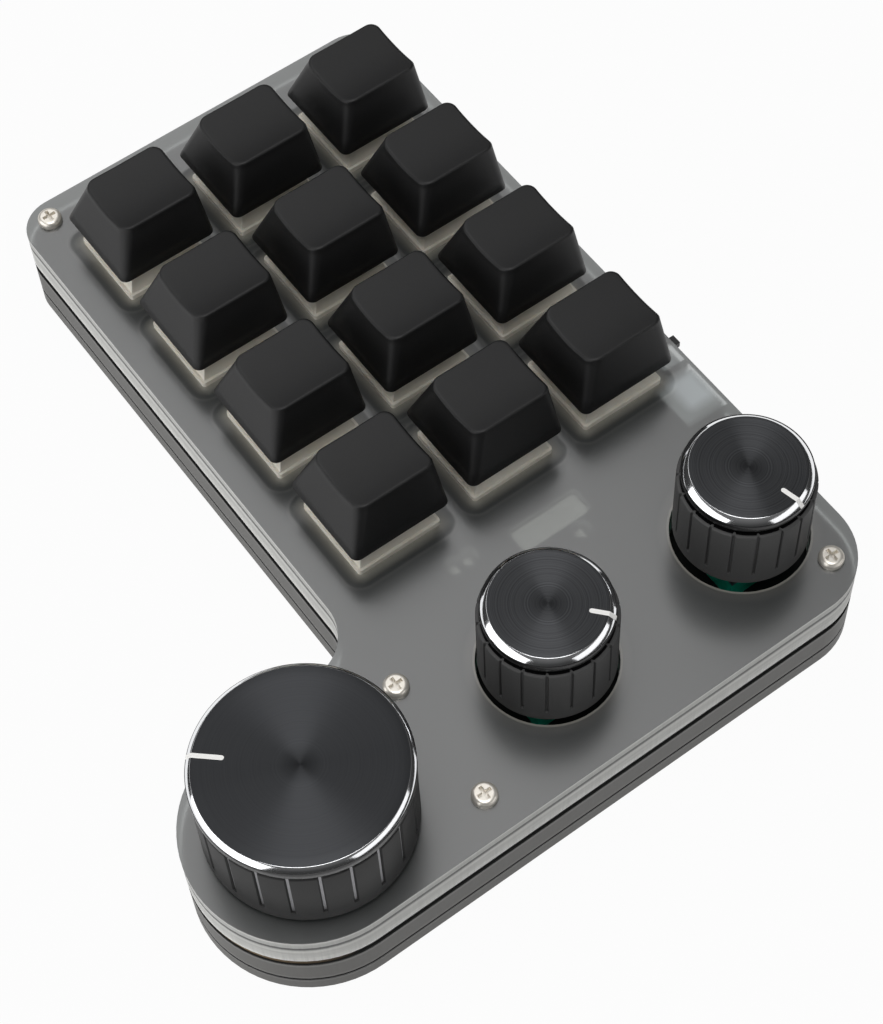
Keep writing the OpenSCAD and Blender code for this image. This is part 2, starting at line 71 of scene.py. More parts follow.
PLATE_LOW, COVER_TOP = span("bottom_plate")[0].z, span("top_cover")[1].z
FRAME_LOW, FRAME_TOP = (corner.z for corner in span("middle_frame"))
BOARD_TIP, BOARD_TOP = span("circuit_board")[0].y, span("circuit_board")[1].z
TAN_START, TAN_FULL = 14.75, 2.75  # from the board's tip to where its edge turns tan
FIRST_KEY = underside("keycap_1_1")
PITCH = underside("keycap_2_1").x - FIRST_KEY.x

# openings of the clear spacer round the switches, flanges of the switches on the cover,
# round holes of the cover, and base of an encoder above the board
WINDOW_W, WINDOW_R = PITCH - 1.6, 3.0
FLANGE_W, FLANGE_R = 15.6, 0.6
KNOB_HOLE_R = 11.0
ENCODER_BASE_H = 4.4

# keycap: skirt and height, top face and how far back it sits, finger dish, corners at the
# skirt and at the top, rounded edge of the top, wall, roof, height of the hollow, and bevel
# under the skirt
CAP_W, CAP_H = 18.1, 8.8
CAP_TOP_W, CAP_TOP_D, CAP_TOP_SHIFT, CAP_DISH = 12.5, 14.2, 1.5, 0.8
CAP_LOW_R, CAP_HIGH_R, CAP_EDGE_R = 1.3, 1.9, 0.55
CAP_WALL, CAP_ROOF = 1.3, 1.4
CAP_ROOM = CAP_H - CAP_DISH - CAP_ROOF
CAP_BEVEL_IN, CAP_BEVEL_H = 0.15, 0.12

# knob: radii of skirt and ring, height, bright chamfer inwards and downwards, number of
# flutes, angle of the pointer, its start as a share of the ring's radius, and the turn from
# it to the next flute as a share of their spacing
KnobForm = namedtuple(
    "KnobForm", "skirt_r ring_r height cut_in cut_h flutes pointer start to_flute")
KNOB_FORM = {
    "large": KnobForm(16.2, 16.3, 17.5, 0.8, 0.85, 22, 228.0, 0.66, 0.5),
    "middle": KnobForm(10.65, 10.05, 16.5, 1.05, 1.0, 18, 42.0, 0.6, 0.0),
    "rear": KnobForm(10.65, 10.05, 16.5, 1.05, 1.0, 18, 13.0, 0.6, 0.82),
}
# collar under the ring, groove below it, plain band below the flutes, their depth and their
# width as a share of the skirt's radius, rounded edges, hollow round the bushing with its roof
# above the board, and bar of paint
COLLAR_H, NECK_H, NECK_IN = 2.2, 0.8, 1.0
FLUTE_RIM, FLUTE_DEPTH, FLUTE_SHARE = 2.6, 0.35, 0.05
SKIRT_FOOT_R, SKIRT_TOP_R, COLLAR_R = 0.4, 0.3, 0.12
HUB_R, HUB_BEVEL, HUB_TOP = 4.9, 0.15, 12.5
POINTER_W, POINTER_SINK, POINTER_LIFT = 0.75, 0.15, 0.02

# ---------------------------------------------------------------- shader helpers


def linear(hex_colour):
    """sRGB hex colour as the linear numbers that a shader takes."""
    parts = [int(hex_colour[i:i + 2], 16) / 255 for i in (1, 3, 5)]
    return [p / 12.92 if p <= 0.04045 else ((p + 0.055) / 1.055) ** 2.4 for p in parts] + [1.0]


def add(tree, kind, inputs=None, **settings):
    """Adds a node; each input is a value or another node's output."""
    made = tree.nodes.new(kind)
    for name, value in settings.items():
        setattr(made, name, value)
    for socket, value in (inputs or {}).items():
        if isinstance(value, bpy.types.NodeSocket):
            tree.links.new(value, made.inputs[socket])
        else:
            made.inputs[socket].default_value = value
    return made


def finish_from(name, build):
    """Material called name whose surface is what build(tree) returns."""
    made = bpy.data.materials.new(name)
    made.use_nodes = True
    tree = made.node_tree
    tree.nodes.clear()
    add(tree, "ShaderNodeOutputMaterial", {"Surface": build(tree)})
    return made


def between(tree, amount, low, high, start=0.0, stop=1.0):
    """Colour that goes from low to high with amount, or number that does so while amount goes
    from start to stop."""
    if isinstance(low, str):
        mixed = add(tree, "ShaderNodeMix", {0: amount, 6: linear(low), 7: linear(high)},
                    data_type="RGBA")
        return mixed.outputs[2]
    return add(tree, "ShaderNodeMapRange", {
        "Value": amount, "From Min": start, "From Max": stop, "To Min": low,
        "To Max": high}).outputs[0]


def ramp(tree, amount, stops):
    """Colour that runs through (position, hex colour) stops."""
    made = add(tree, "ShaderNodeValToRGB", {0: amount})
    elements = made.color_ramp.elements
    elements[0].position, elements[0].color = stops[0][0], linear(stops[0][1])
    elements[-1].position, elements[-1].color = stops[-1][0], linear(stops[-1][1])
    for at, colour in stops[1:-1]:
        elements.new(at).color = linear(colour)
    return made.outputs[0]


def grain(tree, size_mm, detail=2.0, stretch=(1, 1, 1)):
    """Noise whose blotches are about size_mm across, between 0 and 1."""
    place = add(tree, "ShaderNodeTexCoord").outputs["Object"]
    if stretch != (1, 1, 1):
        place = add(tree, "ShaderNodeVectorMath", {0: place, 1: stretch},
                    operation="MULTIPLY").outputs[0]
    return add(tree, "ShaderNodeTexNoise",
               {"Vector": place, "Scale": 1 / (size_mm * MM), "Detail": detail}).outputs[0]


def relief(tree, height, depth_mm, edge_mm=0.0):
    """Normal bent by a height pattern, on edges softened over edge_mm."""
    inputs = {"Height": height, "Distance": depth_mm * MM}
    if edge_mm:
        soft = add(tree, "ShaderNodeBevel", {"Radius": edge_mm * MM}, samples=4)
        inputs["Normal"] = soft.outputs[0]
    return add(tree, "ShaderNodeBump", inputs).outputs[0]


def faces_and_place(tree):
    """1 on level faces and 0 on upright ones, and the place's X, Y and Z in metres."""
    coords = add(tree, "ShaderNodeTexCoord")
    up = add(tree, "ShaderNodeSeparateXYZ", {0: coords.outputs["Normal"]}).outputs["Z"]
    size = add(tree, "ShaderNodeMath", {0: up}, operation="ABSOLUTE").outputs[0]
    level = add(tree, "ShaderNodeMath", {0: size, 1: 0.5}, operation="GREATER_THAN").outputs[0]
    return level, add(tree, "ShaderNodeSeparateXYZ", {0: coords.outputs["Object"]}).outputs


def outside(tree, offset, half, corner):
    """Metres outside a rounded rectangle, from the offset to its middle.  Its half sizes and
    its corner are in millimetres, and it is below zero just inside."""
    core = [(side - corner) * MM for side in half]
    for operation, value in (("ABSOLUTE", (0, 0, 0)), ("SUBTRACT", (*core, 0)),
                             ("MAXIMUM", (0, 0, 0)), ("MULTIPLY", (1, 1, 0))):
        offset = add(tree, "ShaderNodeVectorMath", {0: offset, 1: value},
                     operation=operation).outputs[0]
    away = add(tree, "ShaderNodeVectorMath", {0: offset}, operation="LENGTH").outputs["Value"]
    return add(tree, "ShaderNodeMath", {0: away, 1: corner * MM}, operation="SUBTRACT").outputs[0]


def beside_keys(tree, width, corner):
    """Metres outside a rounded square round the middle of the nearest key."""
    here = add(tree, "ShaderNodeTexCoord").outputs["Object"]
    first = (FIRST_KEY.x * MM, FIRST_KEY.y * MM, 0)
    step, share = PITCH * MM, 1 / (PITCH * MM)
    at = here
    for operation, value in (
            ("SUBTRACT", first), ("MULTIPLY", (share, share, 0)), ("ADD", (0.5, 0.5, 0)),
            ("FLOOR", (0, 0, 0)), ("MAXIMUM", (0, 0, 0)),
            ("MINIMUM", (COLUMNS - 1, ROWS - 1, 0)), ("MULTIPLY", (step, step, 0)),
            ("ADD", first), ("SUBTRACT", here)):
        at = add(tree, "ShaderNodeVectorMath", {0: at, 1: value}, operation=operation).outputs[0]
    return outside(tree, at, (width / 2, width / 2), corner)


def over(tree, node, inset_mm, soft_mm):
    """1 over a part's box drawn in by inset_mm, fading to 0 in soft_mm outside that."""
    low, high = span(node)
    half = ((high.x - low.x) / 2 - inset_mm, (high.y - low.y) / 2 - inset_mm)
    here = add(tree, "ShaderNodeTexCoord").outputs["Object"]
    offset = add(tree, "ShaderNodeVectorMath", {0: here, 1: underside(node) * MM},
                 operation="SUBTRACT").outputs[0]
    return between(tree, outside(tree, offset, half, 0.0), 1.0, 0.0, 0.0, soft_mm * MM)


def beside_holes(tree):
    """Metres outside the nearest of the round holes under the knobs."""
    here = add(tree, "ShaderNodeTexCoord").outputs["Object"]
    flat = add(tree, "ShaderNodeVectorMath", {0: here, 1: (1, 1, 0)},
               operation="MULTIPLY").outputs[0]
    nearest = 1.0
    for kind in KNOBS:
        axis = underside("knob_" + kind) * MM
        away = add(tree, "ShaderNodeVectorMath", {0: flat, 1: (axis.x, axis.y, 0)},
                   operation="DISTANCE").outputs["Value"]
        nearest = add(tree, "ShaderNodeMath", {0: nearest, 1: away},
                      operation="MINIMUM").outputs[0]
    return add(tree, "ShaderNodeMath", {0: nearest, 1: KNOB_HOLE_R * MM},
               operation="SUBTRACT").outputs[0]


# ---------------------------------------------------------------- finishes of the sheets


def sawn_edge(tree, height, node, tones):
    """Laser-cut acrylic edge: milky, with upright marks 0.4 mm apart that are strongest at its
    foot, tones up its height as given, which hold painted highlights at the arrises and painted
    shade at the joints, and see-through from inside the sheet."""
    low, high = (corner.z * MM for corner in span(node))
    rise = between(tree, height, 0.0, 1.0, low, high)
    marks = grain(tree, 0.4, 2, (1, 1, 0.05))
    streaks = grain(tree, 0.3, 2, (0.04, 0.04, 1))
    strength = between(tree, rise, 0.6, 0.16, 0.0, 0.5)
    uneven = add(tree, "ShaderNodeMath", {0: marks, 1: 0.5}, operation="SUBTRACT").outputs[0]
    layered = between(tree, streaks, 0.9, 1.06, 0.3, 0.7)
    shade = add(tree, "ShaderNodeMath", {0: uneven, 1: strength, 2: layered},
                operation="MULTIPLY_ADD").outputs[0]
    colour = add(tree, "ShaderNodeVectorMath", {0: ramp(tree, rise, tones), "Scale": shade},
                 operation="SCALE").outputs[0]
    outer = add(tree, "ShaderNodeBsdfPrincipled", {
        "Base Color": colour, "Roughness": 0.45, "IOR": 1.45,
        "Normal": relief(tree, marks, 0.02, 0.12)}).outputs[0]
    inner = add(tree, "ShaderNodeBsdfTransparent", {0: linear("#6c6e6d")}).outputs[0]
    behind = add(tree, "ShaderNodeNewGeometry").outputs["Backfacing"]
    return add(tree, "ShaderNodeMixShader", {0: behind, 1: outer, 2: inner}).outputs[0]


def frosted_acrylic(tree):
    """Cast acrylic sheet, frosted: a grey haze over a blurred view of the black board and the
    white parts beneath it, duller over the windows of the sheet below, with painted light: a
    painted glow next to the white switches, a painted pale line along the windows' edges, a
    painted pale ring round the knobs' holes and painted glows over the cable socket and the
    power switch; its sawn edges are pale, with painted shade at their foot along the joint
    with the spacer and a painted highlight under the top arris."""
    level, place = faces_and_place(tree)
    upper = add(tree, "ShaderNodeMath", {0: place["Z"], 1: (COVER_TOP - 0.5) * MM},
                operation="GREATER_THAN").outputs[0]
    # the etched grain is drawn 0.25 mm coarse, so that it shows
    sand = grain(tree, 0.25, 3)
    outer = beside_keys(tree, WINDOW_W, WINDOW_R)
    backed = between(tree, outer, 0.2, 1.0, -0.4 * MM, 0.4 * MM)
    # painted light: a painted glow fading over 2.2 mm out from the switches' flanges, a painted
    # pale line just outside each window's edge and a painted pale ring round each knob's hole
    switch = between(tree, beside_keys(tree, FLANGE_W, FLANGE_R), 1.0, 0.0, 0.0, 2.2 * MM)
    painted_glow = add(tree, "ShaderNodeMath", {0: switch, 1: 2.0}, operation="POWER").outputs[0]
    rim = ramp(tree, between(tree, outer, 0.0, 1.0, -1.0 * MM, 1.0 * MM), (
        (0.0, "#000000"), (0.4, "#000000"), (0.56, "#8a8a8a"), (0.8, "#202020"),
        (1.0, "#000000")))
    painted_hole_ring = ramp(tree, between(tree, beside_holes(tree), 0.0, 1.0, 0.0, 2.0 * MM), (
        (0.0, "#e0e0e0"), (0.1, "#e0e0e0"), (0.2, "#6a6a6a"), (1.0, "#000000")))
    pale = add(tree, "ShaderNodeMath", {0: rim, 1: painted_hole_ring}, operation="MAXIMUM").outputs[0]
    haze = add(tree, "ShaderNodeBsdfPrincipled", {
        "Base Color": between(tree, pale, "#7c8080", "#e2e2de"),
        "Roughness": between(tree, sand, 0.28, 0.34), "IOR": 1.49, "Transmission Weight": 0.84,
        "Coat Weight": backed, "Coat Roughness": 0.25, "Coat IOR": 2.0,
        "Normal": relief(tree, sand, 0.004, 0.2)}).outputs[0]
    # painted light: pale patches mixed into the haze next to the switches, round the knobs'
    # holes and over the cable socket and the power switch, where the sheet looks lit by the
    # pale parts under it
    switches, holes, socket, power = (
        add(tree, "ShaderNodeMath", {0: amount, 1: part}, operation="MULTIPLY").outputs[0]
        for amount, part in ((painted_glow, 0.45), (painted_hole_ring, 0.4),
                             (over(tree, "cable_socket", 2.3, 2.0), 0.34),
                             (over(tree, "power_switch", 2.3, 2.0), 0.2)))
    openings = add(tree, "ShaderNodeMath", {0: switches, 1: holes}, operation="MAXIMUM").outputs[0]
    for share, tint in ((openings, "#bcb8ac"), (socket, "#e4ecf0"), (power, "#d9d6c8")):
        lit = add(tree, "ShaderNodeBsdfPrincipled", {
            "Base Color": linear(tint), "Roughness": 0.4, "IOR": 1.49}).outputs[0]
        haze = add(tree, "ShaderNodeMixShader", {0: share, 1: haze, 2: lit}).outputs[0]
    clear = add(tree, "ShaderNodeBsdfTransparent", {0: linear("#f4f5f4")}).outputs[0]
    for_light = add(tree, "ShaderNodeBsdfTransparent", {0: linear("#d0d2d1")}).outputs[0]
    shadow = add(tree, "ShaderNodeLightPath").outputs["Is Shadow Ray"]
    top = add(tree, "ShaderNodeMixShader", {0: shadow, 1: haze, 2: for_light}).outputs[0]
    flat = add(tree, "ShaderNodeMixShader", {0: upper, 1: clear, 2: top}).outputs[0]
    # the cover's edge: darker at its foot as painted shade along the joint with the spacer, and
    # palest just under its top as a painted highlight at the arris
    edge = sawn_edge(tree, place["Z"], "top_cover", (
        (0.0, "#4c4d4b"), (0.16, "#5c5d5b"), (0.24, "#d6d6d2"), (0.36, "#c2c3c0"),
        (0.72, "#cfcfcb"), (0.86, "#efefec"), (1.0, "#bcbdba")))
    return add(tree, "ShaderNodeMixShader", {0: level, 1: edge, 2: flat}).outputs[0]


def clear_acrylic(tree):
    """Clear cast acrylic: see-through faces and laser-cut edges with fine upright marks, palest
    at the foot, with a painted highlight under the top arris and painted shade at the top
    along the joint with the cover.
    """
    level, place = faces_and_place(tree)
    clear = add(tree, "ShaderNodeBsdfTransparent", {0: linear("#f4f5f4")}).outputs[0]
    # the spacer's edge: palest at its foot, a painted highlight under its top arris, and dark at
    # its top as painted shade along the joint with the cover
    edge = sawn_edge(tree, place["Z"], "clear_spacer", (
        (0.0, "#fafaf7"), (0.1, "#f0f0ec"), (0.3, "#dadad6"), (0.62, "#cfcfcb"),
        (0.8, "#e6e6e2"), (0.9, "#bebebb"), (0.95, "#5c5d5b"), (1.0, "#4c4d4b")))
    return add(tree, "ShaderNodeMixShader", {0: level, 1: edge, 2: clear}).outputs[0]


def smoky_sheet(tree):
    """Smoky grey acrylic sheet with laser-cut edges, with painted light: paler along each
    sheet's arrises as painted highlights, painted shade in black in the narrow gap between the
    frame and the plate and on the ledges inside the stack, and painted shade at the plate's foot."""
    place = faces_and_place(tree)[1]
    low, seam, high = PLATE_LOW, FRAME_LOW, FRAME_TOP
    # tones up the stack: darker at the plate's foot and black at the seam and the frame's top as
    # painted shade, paler at each arris as painted highlights
    heights = ((low, "#4a4946"), (low + 0.3, "#5c5b58"),
               (seam - 0.95, "#5b5a57"), (seam - 0.6, "#72716e"), (seam - 0.45, "#6a6966"),
               (seam - 0.3, "#040404"), (seam + 0.4, "#040404"),
               (seam + 0.55, "#6c6b68"), (seam + 0.95, "#666562"), (seam + 1.3, "#5a5956"),
               (high - 1.0, "#5b5a57"), (high - 0.45, "#7c7b78"), (high - 0.25, "#5c5b58"),
               (high - 0.1, "#141414"), (high, "#101010"))
    rise = between(tree, place["Z"], 0.0, 1.0, low * MM, high * MM)
    tone = ramp(tree, rise, [((z - low) / (high - low), colour) for z, colour in heights])
    marks = grain(tree, 0.4, 2, (1, 1, 0.1))
    colour = add(tree, "ShaderNodeVectorMath", {0: tone, "Scale": between(tree, marks, 0.9, 1.1)},
                 operation="SCALE").outputs[0]
    return add(tree, "ShaderNodeBsdfPrincipled", {
        "Base Color": colour, "Roughness": 0.5, "IOR": 1.45,
        "Normal": relief(tree, marks, 0.01, 0.15)}).outputs[0]


def solder_mask(tree):
    """Glass-fibre board under black solder mask, with the bare tan fibre showing on the edge of
    the foot's tip."""
    level, place = faces_and_place(tree)
    weave = grain(tree, 0.5)
    front = between(tree, place["Y"], 0.0, 1.0, (BOARD_TIP + TAN_START) * MM,
                    (BOARD_TIP + TAN_FULL) * MM)
    bare = add(tree, "ShaderNodeMath", {0: 1.0, 1: level}, operation="SUBTRACT").outputs[0]
    tan = add(tree, "ShaderNodeMath", {0: bare, 1: front}, operation="MULTIPLY").outputs[0]
    black = between(tree, weave, "#050606", "#0b0c0c")
    colour = add(tree, "ShaderNodeMix", {0: tan, 6: black, 7: linear("#86745c")},
                 data_type="RGBA").outputs[2]
    return add(tree, "ShaderNodeBsdfPrincipled", {
        "Base Color": colour, "Roughness": between(tree, weave, 0.5, 0.6),
        "Specular IOR Level": 0.2, "Normal": relief(tree, weave, 0.01)}).outputs[0]


# ---------------------------------------------------------------- finishes of keys and knobs


def cap_plastic(tree):
    """Black ABS keycap, moulded in a finely spark-eroded tool: a soft satin, faintly cool in
    colour all over."""
    # the tool's pits are drawn 0.22 mm coarse, so that they show
    texture = grain(tree, 0.22, 3)
    cloud = grain(tree, 6)
    return add(tree, "ShaderNodeBsdfPrincipled", {
        "Base Color": between(tree, cloud, "#0b0b0c", "#0f0f10"),
        "Roughness": between(tree, texture, 0.46, 0.56), "IOR": 1.46,
        "Normal": relief(tree, texture, 0.012)}).outputs[0]


def milky_plastic(tree):
    """Unpigmented nylon switch housing: warm white, and light soaks a little way in."""
    cloud = grain(tree, 1.5)
    return add(tree, "ShaderNodeBsdfPrincipled", {
        "Base Color": between(tree, cloud, "#eae4d5", "#f6f2e8"), "Roughness": 0.32, "IOR": 1.53,
        "Subsurface Weight": 0.25, "Subsurface Radius": (0.0012, 0.001, 0.0008),
        "Normal": relief(tree, cloud, 0.01, 0.15)}).outputs[0]


def lathe_faced(tree, ring_mm, depth_mm, tones):
    """Black anodised aluminium faced in a lathe, which stretches each light into two fans; the
    middle where they meet is painted darker out to 3.2 mm from the axis, as painted shade.
    The UV map holds the millimetres from the knob's axis."""
    across = add(tree, "ShaderNodeSeparateXYZ", {
        0: add(tree, "ShaderNodeTexCoord").outputs["UV"]}).outputs["X"]
    rings = add(tree, "ShaderNodeTexNoise", {"W": across, "Scale": 1 / ring_mm, "Detail": 3.0},
                noise_dimensions="1D").outputs[0]
    around = add(tree, "ShaderNodeTangent", direction_type="RADIAL", axis="Z").outputs[0]
    # the rings' tone, painted darker towards the axis out to 3.2 mm as painted shade where the fans
    # meet
    tone = add(tree, "ShaderNodeVectorMath", {
        0: between(tree, rings, *tones), "Scale": between(tree, across, 0.45, 1.0, 0.0, 3.2)},
        operation="SCALE").outputs[0]
    return add(tree, "ShaderNodeBsdfPrincipled", {
        "Base Color": tone, "Metallic": 1.0,
        "Roughness": 0.38, "Anisotropic": 0.92, "Anisotropic Rotation": 0.25, "Tangent": around,
        "Normal": relief(tree, rings, depth_mm)}).outputs[0]


def spun_top(tree):
    """Top of the large knob: turned so finely that single rings don't show."""
    return lathe_faced(tree, 0.25, 0.001, ("#37383a", "#3f4042"))


def fine_spun_top(tree):
    """Tops of the small knobs: rings about 0.2 mm apart, as in a gramophone record."""
    return lathe_faced(tree, 0.22, 0.014, ("#303133", "#505153"))


def blasted(tree, tones):
    """Black anodised aluminium, bead-blasted: a dull graphite sheen on the skirt."""
    # the dimples are drawn 0.2 mm across, so that they show
    blast = grain(tree, 0.2, 3)
    return add(tree, "ShaderNodeBsdfPrincipled", {
        "Base Color": between(tree, blast, *tones), "Metallic": 0.1,
        "Roughness": between(tree, blast, 0.45, 0.55), "IOR": 1.3, "Specular IOR Level": 0.25,
        "Normal": relief(tree, blast, 0.006)}).outputs[0]


def dark_anodised(tree):
    """Skirt of the large knob: a deep graphite black."""
    return blasted(tree, ("#333333", "#3d3d3d"))


def anodised(tree):
    """Skirts of the small knobs: a greyer black."""
    return blasted(tree, ("#474747", "#535353"))


def gloss_black(tree):
    """Black anodised collar and neck under the bright ring, turned smooth."""
    turn = grain(tree, 0.3)
    return add(tree, "ShaderNodeBsdfPrincipled", {
        "Base Color": between(tree, turn, "#0a0a0b", "#111112"), "Metallic": 0.3,
        "Roughness": between(tree, turn, 0.22, 0.3)}).outputs[0]


def bright_cut(tree):
    """Aluminium cut bright with a diamond tool after anodising: a mirror ring."""
    turn = grain(tree, 0.15)
    return add(tree, "ShaderNodeBsdfPrincipled", {
        "Base Color": linear("#eeeff1"), "Metallic": 1.0,
        "Roughness": between(tree, turn, 0.08, 0.14)}).outputs[0]


def flute_metal(tree):
    """Aluminium laid bare in the milled flutes: pale grey and fairly rough."""
    mill = grain(tree, 0.25, 2, (1, 1, 0.2))
    return add(tree, "ShaderNodeBsdfPrincipled", {
        "Base Color": between(tree, mill, "#77777a", "#9a9a9c"), "Metallic": 1.0,
        "Roughness": 0.45}).outputs[0]


def pointer_paint(tree):
    """White enamel wiped into the pointer's slot."""
    brush = grain(tree, 0.4)
    return add(tree, "ShaderNodeBsdfPrincipled", {
        "Base Color": between(tree, brush, "#f2f1ee", "#fbfaf8"), "Roughness": 0.4,
        "Normal": relief(tree, brush, 0.01)}).outputs[0]


# ---------------------------------------------------------------- finishes of the small parts


def nickel_plate(tree):
    """Nickel-plated steel, barrel-plated: bright and faintly warm, with shallow dents."""
    dents = grain(tree, 0.8, 3)
    return add(tree, "ShaderNodeBsdfPrincipled", {
        "Base Color": between(tree, dents, "#e4ddd1", "#f1ede5"), "Metallic": 0.65,
        "Roughness": between(tree, dents, 0.24, 0.36),
        "Normal": relief(tree, dents, 0.01, 0.12)}).outputs[0]


def zinc_plate(tree):
    """Zinc-plated steel stamping over a teal phenolic base, as an encoder's body is made."""
    place = faces_and_place(tree)[1]
    metal = add(tree, "ShaderNodeMath", {0: place["Z"], 1: (BOARD_TOP + ENCODER_BASE_H) * MM},
                operation="GREATER_THAN").outputs[0]
    dents = grain(tree, 1.0)
    steel = add(tree, "ShaderNodeBsdfPrincipled", {
        "Base Color": between(tree, dents, "#a3a4a4", "#bdbebe"), "Metallic": 1.0,
        "Roughness": between(tree, dents, 0.25, 0.38),
        "Normal": relief(tree, dents, 0.01)}).outputs[0]
    teal = add(tree, "ShaderNodeBsdfPrincipled", {
        "Base Color": between(tree, dents, "#18c9a8", "#20e6c0"), "Roughness": 0.35}).outputs[0]
    return add(tree, "ShaderNodeMixShader", {0: metal, 1: teal, 2: steel}).outputs[0]


def plain_steel(tree):
    """Tin-plated steel shell of the switch and the cable socket."""
    dents = grain(tree, 1.2)
    return add(tree, "ShaderNodeBsdfPrincipled", {
        "Base Color": between(tree, dents, "#e0e3e4", "#eef0f1"), "Metallic": 0.7,
        "Roughness": between(tree, dents, 0.22, 0.34),
        "Normal": relief(tree, dents, 0.01, 0.15)}).outputs[0]


def white_nylon(tree):
    """White nylon of the board's connector and lamps, moulded."""
    cloud = grain(tree, 1.0)
    return add(tree, "ShaderNodeBsdfPrincipled", {
        "Base Color": between(tree, cloud, "#dedbd2", "#efede6"), "Roughness": 0.4,
        "Normal": relief(tree, cloud, 0.01, 0.15)}).outputs[0]


def foil(tree):
    """Aluminium-laminate pouch of the battery, slightly crinkled."""
    crinkle = grain(tree, 2.5, 4)
    return add(tree, "ShaderNodeBsdfPrincipled", {
        "Base Color": between(tree, crinkle, "#b4b5b8", "#cacbcd"), "Metallic": 1.0,
        "Roughness": 0.3, "Normal": relief(tree, crinkle, 0.1)}).outputs[0]


def rubber(tree):
    """Black silicone rubber, moulded matt."""
    dust = grain(tree, 0.6, 3)
    return add(tree, "ShaderNodeBsdfPrincipled", {
        "Base Color": between(tree, dust, "#161616", "#222221"), "Roughness": 0.75,
        "Normal": relief(tree, dust, 0.02)}).outputs[0]


def black_nylon(tree):
    """Black nylon of the lever and the rotors, moulded: a soft shine."""
    flow = grain(tree, 0.5)
    return add(tree, "ShaderNodeBsdfPrincipled", {
        "Base Color": between(tree, flow, "#121213", "#1b1b1c"), "Roughness": 0.45,
        "Normal": relief(tree, flow, 0.01, 0.2)}).outputs[0]


def brown_nylon(tree):
    """Brown nylon stem, moulded."""
    flow = grain(tree, 0.5)
    return add(tree, "ShaderNodeBsdfPrincipled", {
        "Base Color": between(tree, flow, "#5d3c24", "#6d482d"), "Roughness": 0.35,
        "Normal": relief(tree, flow, 0.01)}).outputs[0]


def spring_wire(tree):
    """Gold-flashed spring wire, drawn smooth."""
    draw = grain(tree, 0.2)
    return add(tree, "ShaderNodeBsdfPrincipled", {
        "Base Color": between(tree, draw, "#b89b5a", "#cdb273"), "Metallic": 1.0,
        "Roughness": 0.28}).outputs[0]


FINISHES = {build.__name__: finish_from(build.__name__, build) for build in (
    frosted_acrylic, clear_acrylic, smoky_sheet, solder_mask,
    cap_plastic, milky_plastic, spun_top, fine_spun_top, dark_anodised, anodised, gloss_black,
    bright_cut, flute_metal, pointer_paint,
    nickel_plate, zinc_plate, plain_steel, white_nylon, foil, rubber, black_nylon, brown_nylon,
    spring_wire)}

NODE_FINISH = {
    "top_cover": "frosted_acrylic", "clear_spacer": "clear_acrylic", "circuit_board": "solder_mask",
    "middle_frame": "smoky_sheet", "bottom_plate": "smoky_sheet", "rubber_feet": "rubber",
    "case_screws": "nickel_plate", "switch_bases": "milky_plastic", "switch_tops": "milky_plastic",
    "encoder_bodies": "zinc_plate", "board_components": "white_nylon", "battery": "foil",
    "cable_socket": "plain_steel", "power_switch": "plain_steel", "power_lever": "black_nylon",
}
for kind in KNOBS:
    NODE_FINISH["encoder_rotor_" + kind] = "black_nylon"
    NODE_FINISH["encoder_shaft_" + kind] = "plain_steel"
for c, r in KEYS:
    NODE_FINISH[f"key_stem_{c}_{r}"] = "brown_nylon"
    NODE_FINISH[f"key_spring_{c}_{r}"] = "spring_wire"

for name, finish in NODE_FINISH.items():
    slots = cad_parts[name].data.materials
    slots.clear()
    slots.append(FINISHES[finish])

# ---------------------------------------------------------------- mesh helpers


def piece(name, mesh, body, finishes):
    """Object from a bmesh in millimetres, with its finishes, riding on a body."""
    data = bpy.data.meshes.new(name)
    bmesh.ops.scale(mesh, vec=(MM, MM, MM), verts=mesh.verts)
    mesh.to_mesh(data)
    mesh.free()
    for finish in finishes:
        data.materials.append(FINISHES[finish])
    made = bpy.data.objects.new(name, data)
    bpy.context.scene.collection.objects.link(made)
    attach(made, body)
    return made


def skin(mesh, rows):
    """Closed bands of quads between rows of points, each as long as the last."""
    made = [[mesh.verts.new(point) for point in row] for row in rows]
    count = len(rows[0])
    faces = [mesh.faces.new((lower[i], lower[(i + 1) % count], upper[(i + 1) % count], upper[i]))
             for lower, upper in zip(made, made[1:]) for i in range(count)]
    return made, faces


def fan(mesh, ring, tip):
    """Triangles from a ring of corners to a point."""
    tip = mesh.verts.new(tip)
    return [mesh.faces.new((ring[i - 1], ring[i], tip)) for i in range(len(ring))]


# ---------------------------------------------------------------- keycaps
LEVEL_COUNT = 60


def cap_plan(width, depth, radius, shift):
    """Points round a rounded rectangle, spaced so that every level has as many."""
    points = []
    corner_steps, side_steps = 8, 8
    corners = [Vector((sx * (width / 2 - radius), sy * (depth / 2 - radius)))
               for sx, sy in ((1, 1), (-1, 1), (-1, -1), (1, -1))]
    for quarter, centre in enumerate(corners):
        for i in range(corner_steps + 1):
            a = math.radians(90 * quarter + 90 * i / corner_steps)
            points.append(centre + radius * Vector((math.cos(a), math.sin(a))))
        turn = math.radians(90 * (quarter + 1))
        start = points[-1]
        end = corners[(quarter + 1) % 4] + radius * Vector((math.cos(turn), math.sin(turn)))
        points += [start.lerp(end, i / side_steps) for i in range(1, side_steps)]
    return [Vector((p.x, p.y + shift)) for p in points]


def level_plan(height, inset=0.0):
    """Outline of the cap's outside at a height, drawn inwards by inset."""
    share = height / CAP_H
    width = CAP_W + (CAP_TOP_W - CAP_W) * share - 2 * inset
    depth = CAP_W + (CAP_TOP_D - CAP_W) * share - 2 * inset
    radius = max(CAP_LOW_R + (CAP_HIGH_R - CAP_LOW_R) * share - inset, 0.4)
    return cap_plan(width, depth, radius, CAP_TOP_SHIFT * share)


